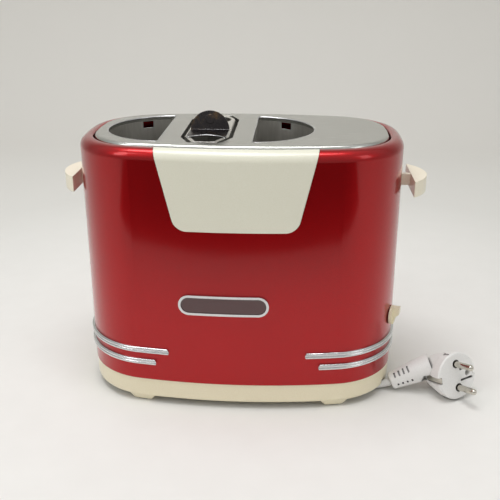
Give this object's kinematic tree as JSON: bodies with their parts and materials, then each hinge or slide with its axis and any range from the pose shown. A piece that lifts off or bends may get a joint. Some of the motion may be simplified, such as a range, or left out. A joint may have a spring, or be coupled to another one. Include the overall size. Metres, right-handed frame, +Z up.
{
  "type": "hot dog toaster",
  "caption": "Oval table-top toaster with half-round bun slots, a lift-out sausage basket, end levers on one sprung carriage, a turn knob, a crumb tray and a mains lead.",
  "frame": {"origin": "table level under the middle of the plan", "axes": "+Z up, +X along the length towards the knob, -Y towards the front with the ivory panel"},
  "size_m": [0.3215, 0.1422, 0.2158],
  "materials": {
    "red_shell": "gloss",
    "cream": "gloss",
    "plate_steel": "satin",
    "chrome_trim": "polished",
    "liner_steel": "satin",
    "dark_steel": "satin",
    "enamel": "gloss",
    "white_cord": "satin",
    "pad_rubber": "matt",
    "black_plastic": "matt",
    "board_green": "matt",
    "mica": "matt",
    "heater_alloy": "satin",
    "nickel": "polished"
  },
  "bodies": {
    "housing": {"base": "cream", "foot_pads": "pad_rubber", "shell": "red_shell", "front_panel": "cream", "top_plate": "plate_steel", "left_bun_liner": "liner_steel", "right_bun_liner": "liner_steel", "basket_well": "liner_steel", "chassis_floor": "liner_steel", "left_end_plate": "liner_steel", "right_end_plate": "liner_steel", "left_outer_heater": "mica", "left_inner_heater": "mica", "right_inner_heater": "mica", "right_outer_heater": "mica", "heater_wires": "heater_alloy", "guide_rod": "nickel", "lift_spring": "nickel", "latch_magnet": "heater_alloy", "timer": "black_plastic", "timer_bracket": "liner_steel", "control_board": "board_green", "board_parts": "black_plastic", "left_upper_bar": "chrome_trim", "left_lower_bar": "chrome_trim", "right_upper_bar": "chrome_trim", "right_lower_bar": "chrome_trim", "badge_bezel": "chrome_trim", "badge_plate": "enamel", "cord_wrap": "cream", "base_screws": "nickel", "cord_gland": "black_plastic", "cord_coil": "white_cord", "cord_lead": "white_cord", "plug_relief": "white_cord", "plug_body": "white_cord", "plug_pins": "nickel", "plug_earth_clips": "nickel"},
    "carriage": {"carriage_beam": "liner_steel", "slider_bush": "black_plastic", "latch_keeper": "dark_steel", "left_bun_rack": "liner_steel", "right_bun_rack": "liner_steel", "basket_seat": "liner_steel", "left_lever": "cream", "right_lever": "cream"},
    "basket": {"basket_body": "liner_steel", "basket_handle": "dark_steel", "basket_top_plate": "liner_steel"},
    "knob": {"knob": "cream", "knob_shaft": "nickel"},
    "crumb_tray": {"crumb_tray": "liner_steel"}
  },
  "joints": [
    {"name": "carriage_slide", "type": "slide", "parent": "housing", "child": "carriage", "axis": [0, 0, -1], "range_m": [0, 0.07], "stiffness_N_per_m": 60, "springref_m": -0.1, "deforming": ["lift_spring"]},
    {"name": "basket_lift", "type": "slide", "parent": "carriage", "child": "basket", "axis": [0, 0, 1], "range_m": [0, 0.1]},
    {"name": "knob_turn", "type": "hinge", "parent": "housing", "child": "knob", "pos_m": [0.11601, -0.03018, 0.0643], "axis": [0.9336, -0.3584, 0], "range_deg": [0, 270]},
    {"name": "crumb_tray_slide", "type": "slide", "parent": "housing", "child": "crumb_tray", "axis": [0, 1, 0], "range_m": [0, 0.12]}
  ]
}
